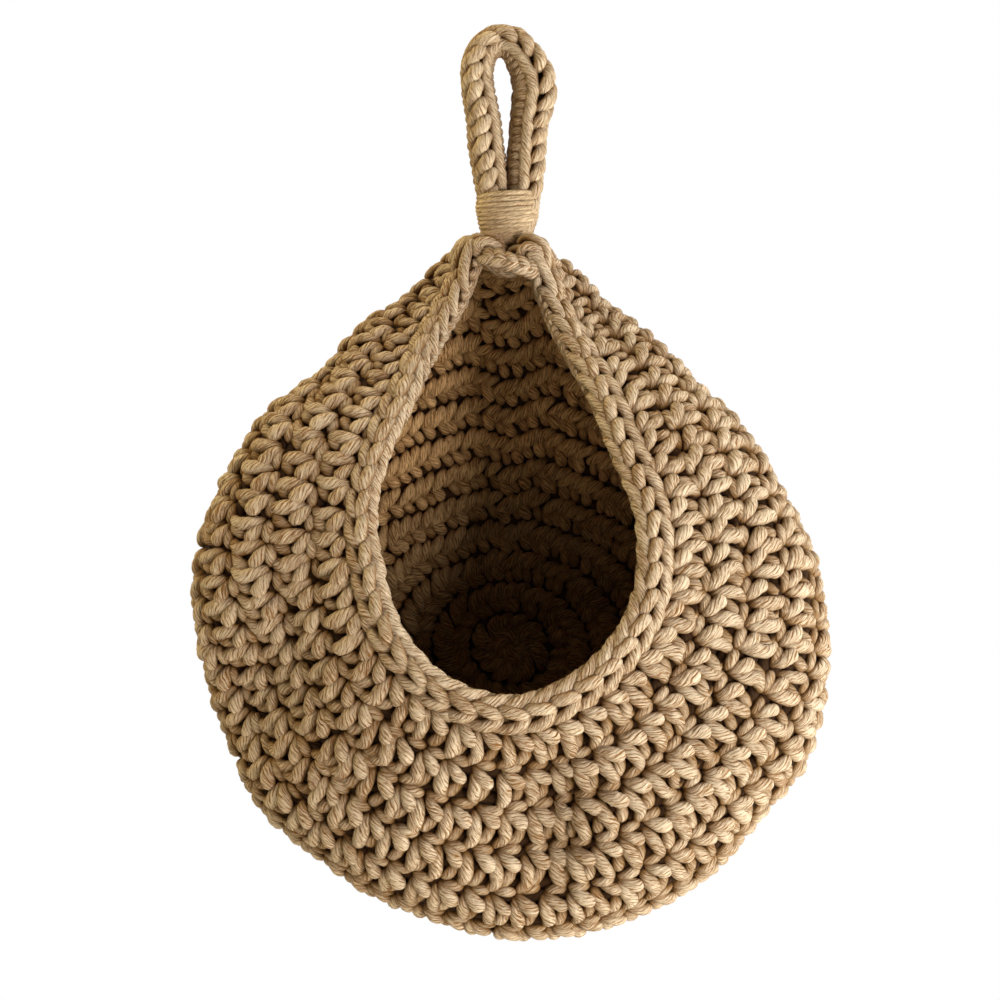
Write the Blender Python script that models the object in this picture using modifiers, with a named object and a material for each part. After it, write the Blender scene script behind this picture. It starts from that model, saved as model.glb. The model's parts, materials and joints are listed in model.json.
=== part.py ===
"""Hanging fruit basket: a soft round pouch crocheted from one thick cotton cord, hung by a bound strap.

The origin is the point of the strap's loop that rests on the hook. +Z is up, and the mouth faces -Y.
"""

import math

import bmesh
import bpy
import numpy as np
from mathutils import Matrix

MM = 0.001

# The wall: rounds of stitches from the middle of the back, over the girth and in to the mouth
ROUND_COUNT = 14
HALF_WIDTH = 139.6 * MM
BACK_DEPTH = 70 * MM
WALL = 11 * MM
RIDGE = 1.4 * MM
WALL_REST_CUT = 1 * MM
CROWN_SETBACK = 33 * MM
CROWN_SHARPNESS = 8
SIDE_SHIFT = 1.5 * MM

# The mouth, and the chain that edges it
MOUTH_HALF_WIDTH = 54.5 * MM
MOUTH_SHIFT = -2.3 * MM
RIM_WIDTH = 12 * MM
RIM_THICK = 10 * MM
RIM_FORWARD = 52 * MM
RIM_TOP_BACK = 8.5 * MM
RIM_LEAN = 1.6
MOUTH_TURN_DEGREES = 20
BRIDGE_HALF_DEGREES = 7.5

# The strap: a doubled band, its two ends gathered in a neck that ends in a round knuckle
LOOP_LENGTH = 51 * MM
LOOP_HALF_WIDTH = 6.5 * MM
STRAP_THICK = 14 * MM
STRAP_DEPTH = 14 * MM
STRAP_ROUND = 2 * MM
STRAP_TURN_DEGREES = 8
SHELF_DROP = 9 * MM
NECK_HEIGHT = 23.5 * MM
NECK_TOP_RADIUS = 12 * MM
NECK_FOOT_RADIUS = 8.7 * MM
NECK_FLATNESS_SHARE = 0.72
NECK_OVERLAP = 3 * MM
KNUCKLE_RADIUS = 3.5 * MM
KNUCKLE_HALF_LENGTH = 11 * MM
SADDLE_DEPTH = 2.3 * MM

# The binding: one cord wound round the neck
BINDING_CORD = 1.6 * MM
BINDING_PITCH = 2.05 * MM
BINDING_TURNS = 8.5
BINDING_BEND = 1.3 * MM
TURN_POINTS = 24
BEND_STEPS = 4

# Cotton cord, a little darker towards the back
CORD_ROUGHNESS = 0.9
CORD_COLOUR = (0.47, 0.31, 0.16)
BACK_COLOUR = (0.38, 0.24, 0.12)
BINDING_COLOUR = (0.5, 0.34, 0.18)

# Clearance between neighbouring pieces, and how finely the wall is drawn
GAP = 0.3 * MM
WELD = GAP / 1000
NUDGE_DEGREES = 0.5
SHARP_DEGREES = 40
ROUNDED_DEGREES = 60
ROUND_SEGMENTS = 2
RING_STEPS = 48
LINE_STEPS = 60
OUTLINE_STEPS = 3
RIM_SECTION_SHARES = ((0, 0.72), (0.28, 1), (0.72, 1), (1, 0.55))
BACK_PULL_SHARE = 0.6
GIRTH_PULL_SHARE = 0.5523
FLANK_PULL_SHARE = 0.35
MOUTH_PULL_SHARE = 0.4
MOUTH_ROLL_SHARE = 0.35

# Outline of the body seen from the front: angle from +X in degrees, reach as a share of HALF_WIDTH
OUTLINE_SHARES = (
    (0, 1.000), (15, 1.005), (32, 1.005), (45, 1.028), (57, 1.052), (66, 1.110), (74, 1.177),
    (82, 1.285), (90, 1.275), (98, 1.315), (105, 1.228), (113, 1.165), (123, 1.085), (134, 1.086),
    (146, 1.066), (160, 1.045), (172, 1.012), (184, 0.985), (197, 0.958), (210, 0.938),
    (222, 0.893), (238, 0.873), (254, 0.868), (272, 0.894), (294, 0.911), (312, 0.932),
    (327, 0.938), (338, 0.982), (352, 0.998),
)

# Edge of the mouth seen from the front: angle about the mouth's middle, reach as a share of MOUTH_HALF_WIDTH
MOUTH_SHARES = (
    (0, 1.000), (15, 1.030), (30, 1.060), (46, 1.160), (59, 1.360), (69, 1.580), (76, 1.820),
    (82, 2.090), (90, 2.300), (97, 2.210), (102, 2.000), (110, 1.700), (122, 1.375), (138, 1.185),
    (156, 1.083), (171, 1.030), (188, 0.985), (204, 1.000), (220, 1.040), (236, 1.085),
    (254, 1.125), (275, 1.138), (290, 1.097), (307, 1.060), (325, 1.035), (345, 1.015),
)

# Half of the strap's hole: share of its length down from the top, share of LOOP_HALF_WIDTH
HOLE_SHARES = ((0.03, 0.55), (0.09, 0.88), (0.17, 1.0), (0.35, 0.9), (0.6, 0.6), (0.85, 0.25))

# Half of the strap's outside: share of the way from the shelf to the top, share of the full half width
STRAP_SHARES = ((0.3, 0.77), (0.6, 0.87), (0.78, 0.97), (0.87, 0.98), (0.95, 0.78), (0.99, 0.42))

# Places that follow from the sizes above
SHELF_Z = -(LOOP_LENGTH + SHELF_DROP)
NECK_FOOT = SHELF_Z - NECK_HEIGHT
HINGE_Z = NECK_FOOT - KNUCKLE_RADIUS
CROWN_Z = HINGE_Z - KNUCKLE_RADIUS - GAP + SADDLE_DEPTH - RIM_THICK / 2


def share_at(table, degrees):
    """Reads a closed table of angles and shares, with a smooth curve through its points."""
    angles = np.array([row[0] for row in table], float)
    shares = np.array([row[1] for row in table], float)
    angles = np.concatenate((angles - 360, angles, angles + 360))
    shares = np.tile(shares, 3)
    slopes = np.gradient(shares, angles)
    angle = degrees % 360
    i = int(np.searchsorted(angles, angle, side="right")) - 1
    step = angles[i + 1] - angles[i]
    t = (angle - angles[i]) / step
    rising = t * t * (3 - 2 * t)
    bend = t * (1 - t) * ((1 - t) * slopes[i] - t * slopes[i + 1]) * step
    return shares[i] + (shares[i + 1] - shares[i]) * rising + bend


CROWN_RISE = share_at(OUTLINE_SHARES, 90) * HALF_WIDTH - WALL / 2
MOUTH_RISE = CROWN_RISE - share_at(MOUTH_SHARES, 90) * MOUTH_HALF_WIDTH
MOUTH_FOOT = MOUTH_RISE - share_at(MOUTH_SHARES, 270) * MOUTH_HALF_WIDTH
CENTRE = np.array((SIDE_SHIFT, -(RIM_TOP_BACK + RIM_WIDTH / 2), CROWN_Z - CROWN_RISE))
BACKWARD = np.array((0, 1, 0))


def bezier(start, first_pull, second_pull, end):
    t = np.linspace(0, 1, LINE_STEPS + 1)[:, None]
    left = 1 - t
    return start * left**3 + first_pull * 3 * t * left**2 + second_pull * 3 * t**2 * left + end * t**3


def mouth_edge(degrees):
    """A point of the mouth's edge, and the way the wall runs when it gets there."""
    turn = MOUTH_TURN_DEGREES * math.cos(math.radians(degrees))
    angle = math.radians(degrees - turn * (1 - abs(math.sin(math.radians(degrees)))))
    reach = share_at(MOUTH_SHARES, math.degrees(angle)) * MOUTH_HALF_WIDTH
    out = np.array((math.cos(angle), 0, math.sin(angle)))
    height = MOUTH_RISE + out[2] * reach
    lean = ((height - MOUTH_FOOT) / (CROWN_RISE - MOUTH_FOOT)) ** RIM_LEAN if height > MOUTH_FOOT else 0
    back = lean * (RIM_FORWARD + RIM_TOP_BACK) - RIM_FORWARD
    point = np.array((MOUTH_SHIFT + out[0] * reach, back, height))
    upright = max(out[2], 0) ** CROWN_SHARPNESS
    runs = -out * (1 - upright) - BACKWARD * (MOUTH_ROLL_SHARE * (1 - upright) + upright)
    return point, runs / np.linalg.norm(runs)


def wall_line(degrees):
    """Middle of the wall at one angle, from the middle of the back, over the girth, to the mouth's edge."""
    angle = math.radians(degrees)
    out = np.array((math.cos(angle), 0, math.sin(angle)))
    reach = share_at(OUTLINE_SHARES, degrees) * HALF_WIDTH - WALL / 2
    setback = CROWN_SETBACK * max(out[2], 0) ** CROWN_SHARPNESS
    middle = BACKWARD * BACK_DEPTH
    girth = out * reach + BACKWARD * setback
    edge, runs = mouth_edge(degrees)
    flank = np.linalg.norm(edge - girth)
    back = bezier(
        middle,
        middle + out * reach * BACK_PULL_SHARE,
        girth + BACKWARD * (BACK_DEPTH - setback) * GIRTH_PULL_SHARE,
        girth,
    )
    front = bezier(
        girth,
        girth - BACKWARD * flank * FLANK_PULL_SHARE,
        edge - runs * flank * MOUTH_PULL_SHARE,
        edge,
    )
    return np.concatenate((back, front[1:]))


def along(line, reaches):
    """Points of a line at these distances from its start."""
    steps = np.linalg.norm(np.diff(line, axis=0), axis=1)
    length = np.concatenate(((0,), np.cumsum(steps)))
    return np.stack([np.interp(reaches, length, line[:, axis]) for axis in range(3)], axis=1)


def line_length(line):
    return np.linalg.norm(np.diff(line, axis=0), axis=1).sum()


def round_reach(line, rounds, trim):
    """How far along the line a place in the rounds lies; trim is a distance added to it."""
    return (line_length(line) - RIM_WIDTH) * rounds / ROUND_COUNT + trim


def rim_reach(line, share, trim):
    return line_length(line) - RIM_WIDTH * (1 - share) + trim


def skin(degrees, reach, heights, *place):
    """The outer and the inner point of the wall at one angle, that far from its middle surface."""
    before, here, after = (wall_line(degrees + step) for step in (-NUDGE_DEGREES, 0, NUDGE_DEGREES))
    distance = reach(here, *place)
    near = along(here, [max(distance - GAP, 0), min(distance + GAP, line_length(here))])
    across = along(after, [reach(after, *place)])[0] - along(before, [reach(before, *place)])[0]
    normal = np.cross(across, near[1] - near[0])
    size = np.linalg.norm(normal)
    normal = normal / size if size > WELD * GAP else BACKWARD
    middle = along(here, [distance])[0]
    return [middle + normal * height for height in heights]


def rest_on_wall(point):
    """The back is flat where it lies against a wall."""
    return np.array((point[0], min(point[1], BACK_DEPTH + WALL / 2 - WALL_REST_CUT), point[2]))


def new_object(name, mesh, collection, colour, roughness):
    made = bpy.data.objects.new(name, mesh)
    collection.objects.link(made)
    finish = bpy.data.materials.new(name)
    finish.use_nodes = True
    shader = finish.node_tree.nodes["Principled BSDF"]
    shader.inputs["Base Color"].default_value = (*colour, 1)
    shader.inputs["Roughness"].default_value = roughness
    shader.inputs["Metallic"].default_value = 0
    mesh.materials.clear()
    mesh.materials.append(finish)
    mesh.shade_smooth()
    mesh.set_sharp_from_angle(angle=math.radians(SHARP_DEGREES))
    return made


def band(name, sections, closed, collection, colour):
    """A closed body lofted through sections of equal count, joined end to end or capped."""
    made = bmesh.new()
    rings = [[made.verts.new(point) for point in section] for section in sections]
    size = len(rings[0])
    pairs = list(zip(rings, rings[1:]))
    if closed:
        pairs.append((rings[-1], rings[0]))
    for first, second in pairs:
        for i in range(size):
            here, after, far_after, far = first[i], first[i - size + 1], second[i - size + 1], second[i]
            # Facing sides of two neighbours are split along the same diagonal, so the gap stays even
            if i == size - 1:
                made.faces.new((here, after, far))
                made.faces.new((after, far_after, far))
            else:
                made.faces.new((here, after, far_after))
                made.faces.new((here, far_after, far))
    if not closed:
        made.faces.new(rings[0])
        made.faces.new(list(reversed(rings[-1])))
    bmesh.ops.remove_doubles(made, verts=made.verts[:], dist=WELD)
    bmesh.ops.triangulate(made, faces=made.faces[:])
    bmesh.ops.recalc_face_normals(made, faces=made.faces[:])
    mesh = bpy.data.meshes.new(name)
    made.to_mesh(mesh)
    made.free()
    return new_object(name, mesh, collection, colour, CORD_ROUGHNESS)


def round_section(number, degrees):
    """Cross-section of one round of stitches: a low ridge on each side of the wall."""
    first = number == 1
    edge = WALL / 2 - RIDGE
    places = (
        (number - 1, 0 if first else GAP / 2, WALL / 2 if first else edge),
        (number - 0.5, 0, WALL / 2),
        (number, -GAP / 2, WALL / 2 if first else edge),
    )
    pairs = [
        skin(degrees, round_reach, (height, -height), place, trim) for place, trim, height in places
    ]
    outer = [rest_on_wall(pair[0]) for pair in pairs]
    return outer + [pair[1] for pair in reversed(pairs)]


def rim_section(degrees):
    """Cross-section of the chain round the mouth: a rounded bar as wide as the chain."""
    pairs = []
    for share, tall in RIM_SECTION_SHARES:
        height = RIM_THICK / 2 * tall
        pairs.append(skin(degrees, rim_reach, (height, -height), share, 0 if pairs else GAP / 2))
    return [pair[0] for pair in pairs] + [pair[1] for pair in reversed(pairs)]


def trimmed(sections):
    """Draws both ends of a row of sections in by the gap, along its own edges."""

    def drawn_in(end, following):
        edges = [np.linalg.norm(far - near) for near, far in zip(end, following)]
        return [near + (far - near) * GAP / edge for near, far, edge in zip(end, following, edges)]

    first = drawn_in(sections[0], sections[1])
    last = drawn_in(sections[-1], sections[-2])
    return [first] + sections[1:-1] + [last]


def smooth_outline(points, steps):
    """Closed outline through the points, curved by their neighbours; a point given twice stays a corner."""
    points = [np.array(point) for point in points]
    count = len(points)
    found = []
    for i in range(count):
        before, here, after, beyond = (points[(i + k) % count] for k in (-1, 0, 1, 2))
        if np.array_equal(here, after):
            continue
        for t in np.arange(steps) / steps:
            found.append(
                here
                + (after - before) / 2 * t
                + (before - here * 2.5 + after * 2 - beyond / 2) * t**2
                + (here * 1.5 - before / 2 - after * 1.5 + beyond / 2) * t**3
            )
    return found


def mirrored(side):
    """The other side of an outline, run the other way."""
    return [(-across, up) for across, up in reversed(side)]


def strap_outlines():
    """The strap's outside and its hole, seen from the front, as closed lists of points."""
    tall = STRAP_THICK - SHELF_Z
    full = LOOP_HALF_WIDTH + STRAP_THICK
    side = [(full * across, SHELF_Z + tall * up) for up, across in reversed(STRAP_SHARES)]
    side += [(STRAP_THICK, SHELF_Z)] * 2
    outside = [(0, STRAP_THICK)] + side + mirrored(side)
    hole_side = [(LOOP_HALF_WIDTH * across, -LOOP_LENGTH * down) for down, across in HOLE_SHARES]
    hole = [(0, 0)] + hole_side + [(0, -LOOP_LENGTH)] * 2 + mirrored(hole_side)
    return smooth_outline(outside, OUTLINE_STEPS), smooth_outline(hole, OUTLINE_STEPS)


def curve_to_mesh(made):
    """Replaces a curve object by a mesh object of the same shape, with its caps welded."""
    graph = bpy.context.evaluated_depsgraph_get()
    mesh = bpy.data.meshes.new_from_object(made.evaluated_get(graph))
    shape = bmesh.new()
    shape.from_mesh(mesh)
    bmesh.ops.remove_doubles(shape, verts=shape.verts[:], dist=WELD)
    bmesh.ops.recalc_face_normals(shape, faces=shape.faces[:])
    shape.to_mesh(mesh)
    shape.free()
    bpy.data.objects.remove(made)
    return mesh


def flat_outline(name, outlines, thickness, collection):
    """A flat sheet with holes, standing in the XZ plane."""
    curve = bpy.data.curves.new(name, "CURVE")
    curve.dimensions = "2D"
    curve.fill_mode = "BOTH"
    curve.extrude = thickness / 2
    for outline in outlines:
        spline = curve.splines.new("POLY")
        spline.points.add(len(outline) - 1)
        for point, (across, up) in zip(spline.points, outline):
            point.co = (across, up, 0, 1)
        spline.use_cyclic_u = True
    made = bpy.data.objects.new(name, curve)
    collection.objects.link(made)
    return curve_to_mesh(made)


def cutter(name, mesh, collection):
    made = bpy.data.objects.new(name, mesh)
    collection.objects.link(made)
    made.hide_render = True
    made.display_type = "WIRE"
    return made


def cylinder_along_x(name, radius, half_length):
    made = bmesh.new()
    bmesh.ops.create_cone(
        made, cap_ends=True, segments=RING_STEPS, radius1=radius, radius2=radius, depth=2 * half_length
    )
    made.transform(turn_about("Y", 90))
    mesh = bpy.data.meshes.new(name)
    made.to_mesh(mesh)
    made.free()
    return mesh


def turn_about(axis, degrees):
    return Matrix.Rotation(math.radians(degrees), 4, axis)


def neck_mesh(name):
    """The gathered ends of the strap: a flattened cone below its shelf, and a little way up inside it."""
    made = bmesh.new()
    bmesh.ops.create_cone(
        made,
        cap_ends=True,
        segments=RING_STEPS,
        radius1=NECK_FOOT_RADIUS,
        radius2=NECK_TOP_RADIUS,
        depth=NECK_HEIGHT,
    )
    for vert in made.verts:
        vert.co.y *= NECK_FLATNESS_SHARE
        vert.co.z += NECK_OVERLAP if vert.co.z > 0 else -KNUCKLE_RADIUS / 2
        vert.co.z -= NECK_HEIGHT / 2
    mesh = bpy.data.meshes.new(name)
    made.to_mesh(mesh)
    made.free()
    return mesh


def boolean(made, operation, other):
    cut = made.modifiers.new(other.name, "BOOLEAN")
    cut.operation = operation
    cut.object = other


def binding_route():
    """Middle line of the binding cord: a cone of turns whose two ends turn up and down along the neck."""
    drop = (BINDING_TURNS * BINDING_PITCH) / 2
    middle_z = NECK_FOOT + NECK_HEIGHT / 2
    lift = GAP + BINDING_CORD / 2

    def on_neck(angle, height):
        share = (height - NECK_FOOT) / NECK_HEIGHT
        wide = NECK_FOOT_RADIUS + (NECK_TOP_RADIUS - NECK_FOOT_RADIUS) * share
        return np.array(
            (
                (wide + lift) * math.cos(angle),
                (wide * NECK_FLATNESS_SHARE + lift) * math.sin(angle),
                height,
            )
        )

    def end_bend(point, side, up):
        """From running along Y, round a quarter bend, and one cord's width along Z."""
        bend = [
            point
            + np.array((0, side * BINDING_BEND * math.sin(t), up * BINDING_BEND * (1 - math.cos(t))))
            for t in np.linspace(0, math.pi / 2, BEND_STEPS + 1)[1:]
        ]
        return bend + [bend[-1] + np.array((0, 0, up * BINDING_CORD))]

    early = BINDING_BEND / (NECK_TOP_RADIUS * NECK_FLATNESS_SHARE + lift)
    late = BINDING_BEND / (NECK_FOOT_RADIUS * NECK_FLATNESS_SHARE + lift)
    start, end = math.pi + early, math.pi + 2 * math.pi * BINDING_TURNS - late
    count = round(BINDING_TURNS * TURN_POINTS)
    coil = [
        on_neck(start + (end - start) * i / count, middle_z + drop - 2 * drop * i / count)
        for i in range(count + 1)
    ]
    first = end_bend(coil[0], 1, 1)
    last = end_bend(coil[-1], 1, -1)
    return list(reversed(first)) + coil + last


def least_gap(points, diameter):
    """Least distance between two stretches of a cord that aren't neighbours along it."""
    points = np.array(points)
    apart = np.linalg.norm(points[:, None] - points[None], axis=2)
    index = np.arange(len(points))
    near = np.abs(index[:, None] - index[None]) < TURN_POINTS / 2
    return np.where(near, np.inf, apart).min() - diameter


def cord_object(name, points, diameter, collection, colour):
    curve = bpy.data.curves.new(name, "CURVE")
    curve.dimensions = "3D"
    curve.bevel_depth = diameter / 2
    curve.bevel_resolution = 1
    curve.use_fill_caps = True
    spline = curve.splines.new("POLY")
    spline.points.add(len(points) - 1)
    for point, place in zip(spline.points, points):
        point.co = (*place, 1)
    made = bpy.data.objects.new(name, curve)
    collection.objects.link(made)
    mesh = curve_to_mesh(made)
    return new_object(name, mesh, collection, colour, CORD_ROUGHNESS)


for old in list(bpy.data.objects):
    bpy.data.objects.remove(old)
parts = bpy.data.collections.new("hanging_fruit_basket")
cutters = bpy.data.collections.new("cutters")
bpy.context.scene.collection.children.link(parts)
bpy.context.scene.collection.children.link(cutters)

# Everything below the neck swings about this point, fore and aft
sway = bpy.data.objects.new("neck_sway", None)
sway.location = (0, 0, HINGE_Z)
parts.objects.link(sway)
centre_from_hinge = CENTRE - np.array((0, 0, HINGE_Z))


def hang(made):
    """Carries a piece of the basket on the hinge, with its mesh drawn about the middle of the back."""
    made.parent = sway
    made.location = centre_from_hinge


# The rounds
turn_step = 360 / RING_STEPS
for number in range(1, ROUND_COUNT + 1):
    mix = (number - 1) / (ROUND_COUNT - 1)
    tint = [low + (high - low) * mix for low, high in zip(BACK_COLOUR, CORD_COLOUR)]
    ring = [round_section(number, turn_step * i) for i in range(RING_STEPS)]
    hang(band(f"round_{number:02d}", ring, True, parts, tint))

# The chain round the mouth, open at the top where the bridge closes it
bridge_start, bridge_end = 90 - BRIDGE_HALF_DEGREES, 90 + BRIDGE_HALF_DEGREES
rim_angles = np.arange(bridge_end, bridge_start + 360 + turn_step / 2, turn_step)
rim = trimmed([rim_section(angle) for angle in rim_angles])
hang(band("rim_chain", rim, False, parts, CORD_COLOUR))

# The bridge of stitches that draws the mouth's sides together, hollowed on top for the strap's knuckle
bridge_sections = [rim_section(angle) for angle in (bridge_start, 90, bridge_end)]
bridge = band("bridge_stitches", bridge_sections, False, parts, CORD_COLOUR)
hang(bridge)
saddle = cutter(
    "saddle_cut",
    cylinder_along_x("saddle_cut", KNUCKLE_RADIUS + GAP, KNUCKLE_HALF_LENGTH + GAP),
    cutters,
)
saddle.location = (0, 0, HINGE_Z)
boolean(bridge, "DIFFERENCE", saddle)

# The strap, its gathered ends and their knuckle, in one piece
strap_mesh = flat_outline("strap_outline", strap_outlines(), STRAP_DEPTH, parts)
strap_mesh.transform(turn_about("X", 90))
strap = new_object("hanging_strap", strap_mesh, parts, CORD_COLOUR, CORD_ROUGHNESS)
rounding = strap.modifiers.new("rounding", "BEVEL")
rounding.width = STRAP_ROUND
rounding.segments = ROUND_SEGMENTS
rounding.limit_method = "ANGLE"
rounding.angle_limit = math.radians(ROUNDED_DEGREES)
neck = cutter("neck", neck_mesh("neck"), cutters)
neck.location = (0, 0, SHELF_Z)
knuckle = cutter("knuckle", cylinder_along_x("knuckle", KNUCKLE_RADIUS, KNUCKLE_HALF_LENGTH), cutters)
knuckle.location = (0, 0, HINGE_Z)
boolean(strap, "UNION", neck)
boolean(strap, "UNION", knuckle)

# From its shelf to its top the strap turns a little
foot_of_strap = HINGE_Z - KNUCKLE_RADIUS
turning = strap.modifiers.new("turning", "SIMPLE_DEFORM")
turning.deform_method = "TWIST"
turning.deform_axis = "Z"
turning.origin = neck
turning.angle = math.radians(STRAP_TURN_DEGREES)
turning.limits = ((SHELF_Z - foot_of_strap) / (STRAP_THICK - foot_of_strap), 1)

# The binding round the gathered ends
route = binding_route()
print(f"binding: least gap between turns {least_gap(route, BINDING_CORD) / MM:.2f} mm")
cord_object("binding", route, BINDING_CORD, parts, BINDING_COLOUR)
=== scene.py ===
import json
import math

import bpy
import numpy as np
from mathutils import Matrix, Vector


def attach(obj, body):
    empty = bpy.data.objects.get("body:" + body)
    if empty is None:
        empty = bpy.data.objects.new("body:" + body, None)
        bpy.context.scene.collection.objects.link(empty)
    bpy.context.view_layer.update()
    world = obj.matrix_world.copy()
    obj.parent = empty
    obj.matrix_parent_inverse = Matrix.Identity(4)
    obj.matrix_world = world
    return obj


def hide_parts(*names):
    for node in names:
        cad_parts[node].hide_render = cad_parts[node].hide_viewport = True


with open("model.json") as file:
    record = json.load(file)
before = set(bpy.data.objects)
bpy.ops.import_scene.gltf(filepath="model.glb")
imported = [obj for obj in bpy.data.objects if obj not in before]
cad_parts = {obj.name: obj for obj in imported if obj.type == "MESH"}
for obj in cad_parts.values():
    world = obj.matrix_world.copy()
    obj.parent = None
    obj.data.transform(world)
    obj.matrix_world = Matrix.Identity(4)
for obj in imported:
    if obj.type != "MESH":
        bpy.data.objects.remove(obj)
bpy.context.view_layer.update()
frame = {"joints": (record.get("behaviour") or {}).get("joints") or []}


# The pouch: fourteen rounds of single crochet in one thick cotton cord, worked from the middle of
# the back, out over the girth and in to the mouth. This is the soft wall that the rounds lie in,
# drawn together at its top under the strap.
MM = 0.001
ROUND_COUNT = 14
HALF_WIDTH = 139.6 * MM
BACK_DEPTH = 70 * MM
WALL = 11 * MM
CROWN_SETBACK = 33 * MM
CROWN_SHARPNESS = 8
CROWN_DROP = 1.5 * MM
SIDE_SHIFT = 1.5 * MM
MOUTH_HALF_WIDTH = 54.5 * MM
MOUTH_SHIFT = -2.3 * MM
MOUTH_TURN_DEGREES = 20
RIM_WIDTH = 12 * MM
RIM_THICK = 10 * MM
RIM_FORWARD = 52 * MM
RIM_TOP_BACK = 8.5 * MM
RIM_LEAN = 1.6
HINGE_Z = frame["joints"][0]["pos_m"][2]
CROWN_Z = HINGE_Z - CROWN_DROP - RIM_THICK / 2

# Reach of the outline from the middle of the back, and of the mouth's edge from the mouth's
# middle, each as a share of its half width, by angle from the right-hand side
OUTLINE = (
    (0, 1.000), (15, 1.005), (32, 1.005), (45, 1.028), (57, 1.052), (66, 1.110), (74, 1.177),
    (82, 1.285), (90, 1.275), (98, 1.315), (105, 1.228), (113, 1.165), (123, 1.085), (134, 1.086),
    (146, 1.066), (160, 1.045), (172, 1.012), (184, 0.985), (197, 0.958), (210, 0.938),
    (222, 0.893), (238, 0.873), (254, 0.868), (272, 0.894), (294, 0.911), (312, 0.932),
    (327, 0.938), (338, 0.982), (352, 0.998),
)
MOUTH = (
    (0, 1.000), (15, 1.030), (30, 1.060), (46, 1.160), (59, 1.360), (69, 1.580), (76, 1.820),
    (82, 2.090), (90, 2.300), (97, 2.210), (102, 2.000), (110, 1.700), (122, 1.375), (138, 1.185),
    (156, 1.083), (171, 1.030), (188, 0.985), (204, 1.000), (220, 1.040), (236, 1.085),
    (254, 1.125), (275, 1.138), (290, 1.097), (307, 1.060), (325, 1.035), (345, 1.015),
)


def share_at(table, degrees):
    """A smooth closed curve through the table's points."""
    angles = np.array([row[0] for row in table], float)
    shares = np.tile([row[1] for row in table], 3)
    angles = np.concatenate((angles - 360, angles, angles + 360))
    slopes = np.gradient(shares, angles)
    angle = np.asarray(degrees) % 360
    i = np.searchsorted(angles, angle, side="right") - 1
    step = angles[i + 1] - angles[i]
    t = (angle - angles[i]) / step
    bend = t * (1 - t) * ((1 - t) * slopes[i] - t * slopes[i + 1]) * step
    return shares[i] + (shares[i + 1] - shares[i]) * t * t * (3 - 2 * t) + bend


CROWN_RISE = float(share_at(OUTLINE, 90)) * HALF_WIDTH - WALL / 2
MOUTH_RISE = CROWN_RISE - float(share_at(MOUTH, 90)) * MOUTH_HALF_WIDTH
MOUTH_FOOT = MOUTH_RISE - float(share_at(MOUTH, 270)) * MOUTH_HALF_WIDTH
CENTRE = np.array((SIDE_SHIFT, -(RIM_TOP_BACK + RIM_WIDTH / 2), CROWN_Z - CROWN_RISE))
BACKWARD = np.array((0.0, 1.0, 0.0))

# How far the wall runs on, as a share of each stretch, before it bends to the next
BACK_RUN = 0.6
BACK_ROUND = 0.5523
GIRTH_RUN = 0.35
EDGE_RUN = 0.4
EDGE_TUCK = 0.35
CURVE_STEPS = 80


def bezier(start, first, second, end):
    t = np.linspace(0, 1, CURVE_STEPS + 1)[:, None]
    s = 1 - t
    return start * s**3 + first * 3 * t * s**2 + second * 3 * t * t * s + end * t**3


def wall_line(degrees):
    """Middle of the wall at one angle, from the middle of the back over the girth to the mouth."""
    angle = math.radians(degrees)
    out = np.array((math.cos(angle), 0, math.sin(angle)))
    reach = float(share_at(OUTLINE, degrees)) * HALF_WIDTH - WALL / 2
    setback = CROWN_SETBACK * max(out[2], 0) ** CROWN_SHARPNESS
    mouth_turn = MOUTH_TURN_DEGREES * math.cos(angle) * (1 - abs(math.sin(angle)))
    turned = math.radians(degrees - mouth_turn)
    edge_out = np.array((math.cos(turned), 0, math.sin(turned)))
    edge_reach = float(share_at(MOUTH, math.degrees(turned))) * MOUTH_HALF_WIDTH
    height = MOUTH_RISE + edge_out[2] * edge_reach
    lean = (max(height - MOUTH_FOOT, 0) / (CROWN_RISE - MOUTH_FOOT)) ** RIM_LEAN
    depth = lean * (RIM_FORWARD + RIM_TOP_BACK) - RIM_FORWARD
    edge = np.array((MOUTH_SHIFT + edge_out[0] * edge_reach, depth, height))
    upright = max(edge_out[2], 0) ** CROWN_SHARPNESS
    runs = -edge_out * (1 - upright) - BACKWARD * (EDGE_TUCK * (1 - upright) + upright)
    runs = runs / np.linalg.norm(runs)
    girth = out * reach + BACKWARD * setback
    flank = np.linalg.norm(edge - girth)
    middle = BACKWARD * BACK_DEPTH
    rise = BACKWARD * (BACK_DEPTH - setback) * BACK_ROUND
    back = bezier(middle, middle + out * reach * BACK_RUN, girth + rise, girth)
    forward = girth - BACKWARD * flank * GIRTH_RUN
    front = bezier(girth, forward, edge - runs * flank * EDGE_RUN, edge)
    return np.concatenate((back, front[1:]))


def lengths_along(line):
    """How far along the line each of its points lies."""
    return np.concatenate(((0,), np.cumsum(np.linalg.norm(np.diff(line, axis=0), axis=1))))


def places_along(line, length, wanted):
    """Places on the line at the wanted lengths."""
    return np.stack([np.interp(wanted, length, line[:, axis]) for axis in range(3)], axis=-1)


ROW_STEPS = 8
BEYOND = 3


def wall_grid():
    """Points of the wall by degree and by eighth of a round, the rim counted as one more round."""
    steps = ROUND_COUNT * ROW_STEPS
    turns = []
    for degrees in range(360):
        line = wall_line(degrees)
        length = lengths_along(line)
        fabric = length[-1] - RIM_WIDTH
        body = fabric * np.arange(steps + 1) / steps
        rim = fabric + RIM_WIDTH * np.arange(1, ROW_STEPS + 1) / ROW_STEPS
        points = places_along(line, length, np.concatenate((body, rim)))
        step = points[-1] - points[-2]
        more = points[-1] + step * np.arange(1, BEYOND + 1)[:, None]
        turns.append(np.concatenate((points, more)))
    return np.array(turns) + CENTRE


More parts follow.
